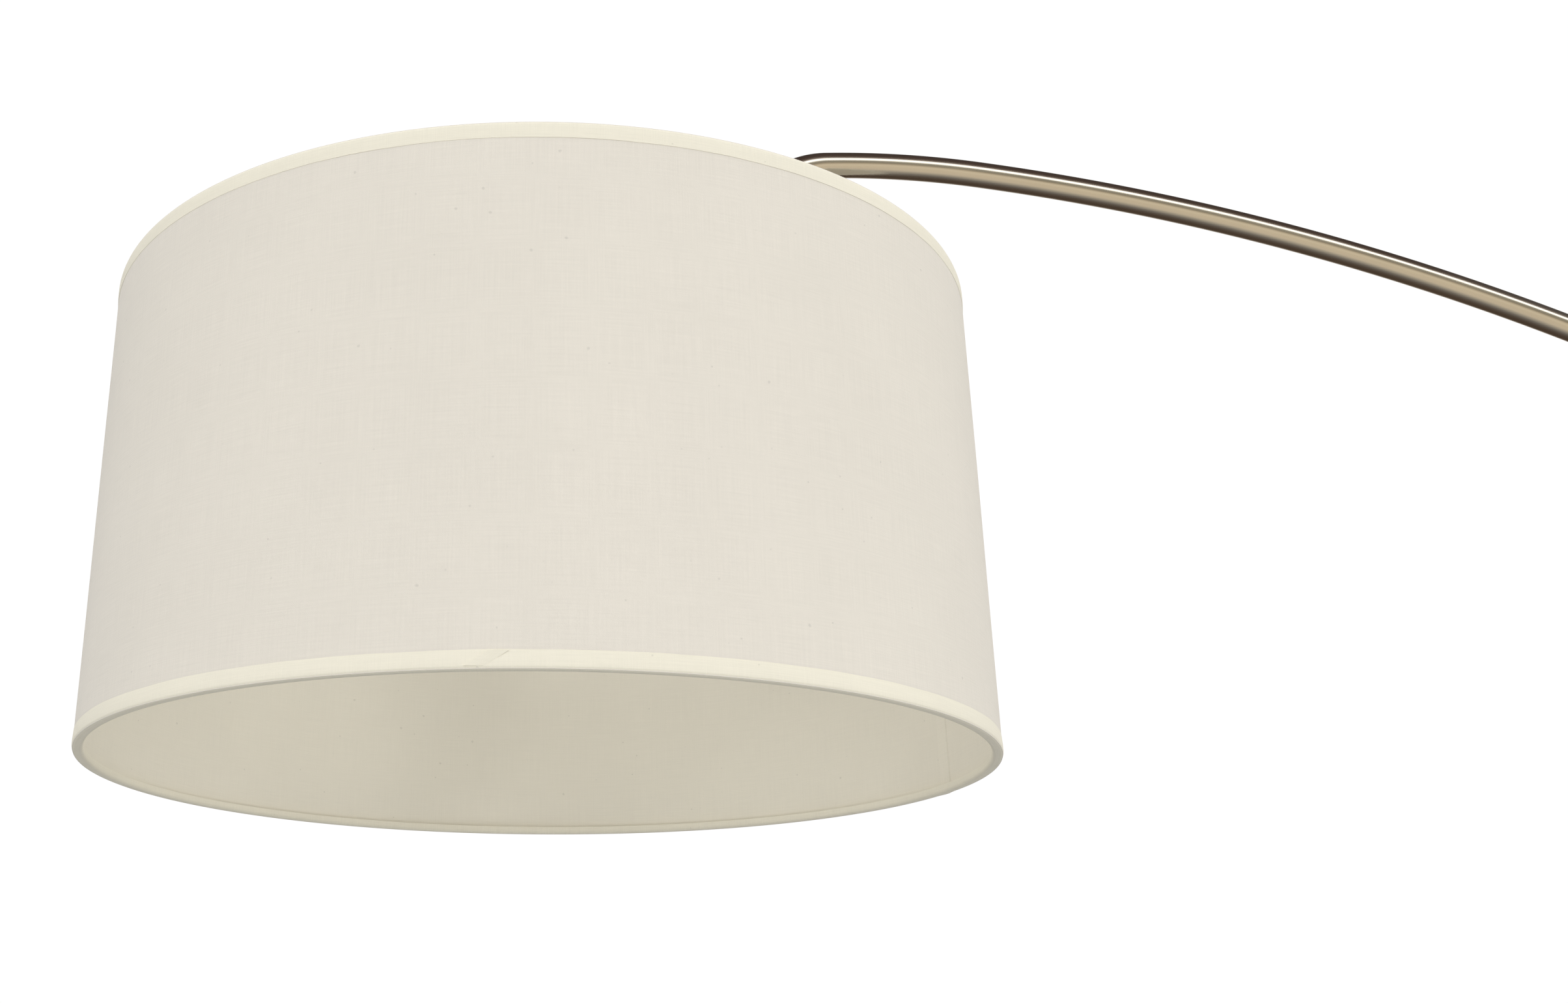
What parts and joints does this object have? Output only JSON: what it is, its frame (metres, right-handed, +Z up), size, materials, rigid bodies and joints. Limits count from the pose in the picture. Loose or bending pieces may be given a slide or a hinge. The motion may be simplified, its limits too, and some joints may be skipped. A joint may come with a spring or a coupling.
{
  "type": "arc floor lamp",
  "caption": "Arc floor lamp with a weighted round base, an arched steel arm that slides and swivels in its post, and a tilting fabric drum shade.",
  "frame": {"origin": "centre of the base's underside, on the floor and on the post's axis", "axes": "+Z up along the post, -X along the arm's reach to the shade, Y across the arm"},
  "size_m": [1.6109, 0.5008, 2.0163],
  "materials": {
    "brushed_tube": "brushed along the tube, satin nickel tone",
    "brushed_cover": "spun brushing in circles",
    "turned_steel": "turned, fine rings",
    "plain_steel": "zinc plated",
    "spring_steel": "dark oiled",
    "weight_iron": "rough cast, painted black",
    "pad_rubber": "ribbed matt",
    "guide_plastic": "matt black",
    "white_plastic": "fine satin white",
    "black_plastic": "matt black",
    "cord_jacket": "smooth white jacket",
    "ceramic_core": "dull unglazed",
    "contact_brass": "bright",
    "shell_aluminium": "rolled thread, satin",
    "white_wire": "white powder coat",
    "opal_glass": "opal",
    "shade_cloth": "fine plain weave, warm off-white",
    "shade_tape": "cream tape",
    "lining_film": "matt laminated film, warm beige",
    "driver_board": "satin plate"
  },
  "bodies": {
    "base": {"base_cover": "brushed_cover", "base_weight": "weight_iron", "base_pad": "pad_rubber", "post_bolt_washer": "plain_steel", "post_bolt": "plain_steel", "post_plug": "plain_steel", "post_lower_tube": "brushed_tube", "post_upper_tube": "brushed_tube", "post_joiner": "plain_steel", "post_foot_collar": "turned_steel", "cord_grommet": "black_plastic", "post_bush": "guide_plastic", "clamp_collar": "turned_steel", "base_flex": "cord_jacket"},
    "clamp_tip": {"clamp_screw_tip": "guide_plastic"},
    "clamp_screw": {"clamp_screw_shank": "plain_steel", "clamp_screw_knob": "turned_steel"},
    "guide": {"tail_bush": "guide_plastic"},
    "arm": {"lower_arch_tube": "brushed_tube", "tail_clips": "spring_steel", "reducer_sleeve": "plain_steel", "upper_arm_tube": "brushed_tube", "arm_coupler": "turned_steel", "coupler_grub_screw": "spring_steel", "arm_flex": "cord_jacket", "knuckle_upper_half": "turned_steel"},
    "head": {"knuckle_lower_half": "turned_steel", "knuckle_washer": "guide_plastic", "pivot_screw": "plain_steel", "head_stem": "plain_steel", "stem_lock_nut": "plain_steel", "holder_cap": "white_plastic", "holder_inner_nut": "plain_steel", "holder_skirt": "white_plastic", "holder_core": "ceramic_core", "terminal_screws": "contact_brass", "screw_shell": "contact_brass", "centre_contact": "contact_brass", "shade_ring": "white_plastic", "head_flex": "cord_jacket", "bulb_tip": "plain_steel", "bulb_cap": "shell_aluminium", "bulb_housing": "white_plastic", "bulb_led_plate": "driver_board", "bulb_globe": "opal_glass", "shade_fabric": "shade_cloth", "shade_lining": "lining_film", "bottom_hoop": "white_wire", "top_hoop": "white_wire", "spider_spokes": "white_wire", "spider_fitter": "white_wire", "bottom_hem": "shade_tape", "top_hem": "shade_tape"},
    "tilt_knob_body": {"tilt_knob": "turned_steel"}
  },
  "joints": [
    {"name": "height_slide", "type": "slide", "parent": "base", "child": "guide", "axis": [0, 0, 1], "range_m": [-0.2, 0.04]},
    {"name": "arm_swivel", "type": "hinge", "parent": "guide", "child": "arm", "pos_m": [0, 0, 0.79], "axis": [0, 0, 1], "range_deg": [-170, 170]},
    {"name": "shade_tilt", "type": "hinge", "parent": "arm", "child": "head", "pos_m": [-1.2006, 0, 1.917], "axis": [0, 1, 0], "range_deg": [-22, 35]},
    {"name": "tilt_knob_turn", "type": "hinge", "parent": "head", "child": "tilt_knob_body", "pos_m": [-1.2006, 0.013, 1.917], "axis": [0, 1, 0], "range_deg": [0, 90]},
    {"name": "clamp_screw_travel", "type": "slide", "parent": "base", "child": "clamp_tip", "axis": [1, 0, 0], "range_m": [0, 0.003]},
    {"name": "clamp_screw_turn", "type": "hinge", "parent": "clamp_tip", "child": "clamp_screw", "pos_m": [0.02, 0, 0.922], "axis": [1, 0, 0], "range_deg": [0, 1082]}
  ],
  "couplings": [
    {"joint": "clamp_screw_turn", "follows": "clamp_screw_travel", "rad_per_m": 6283.2}
  ]
}
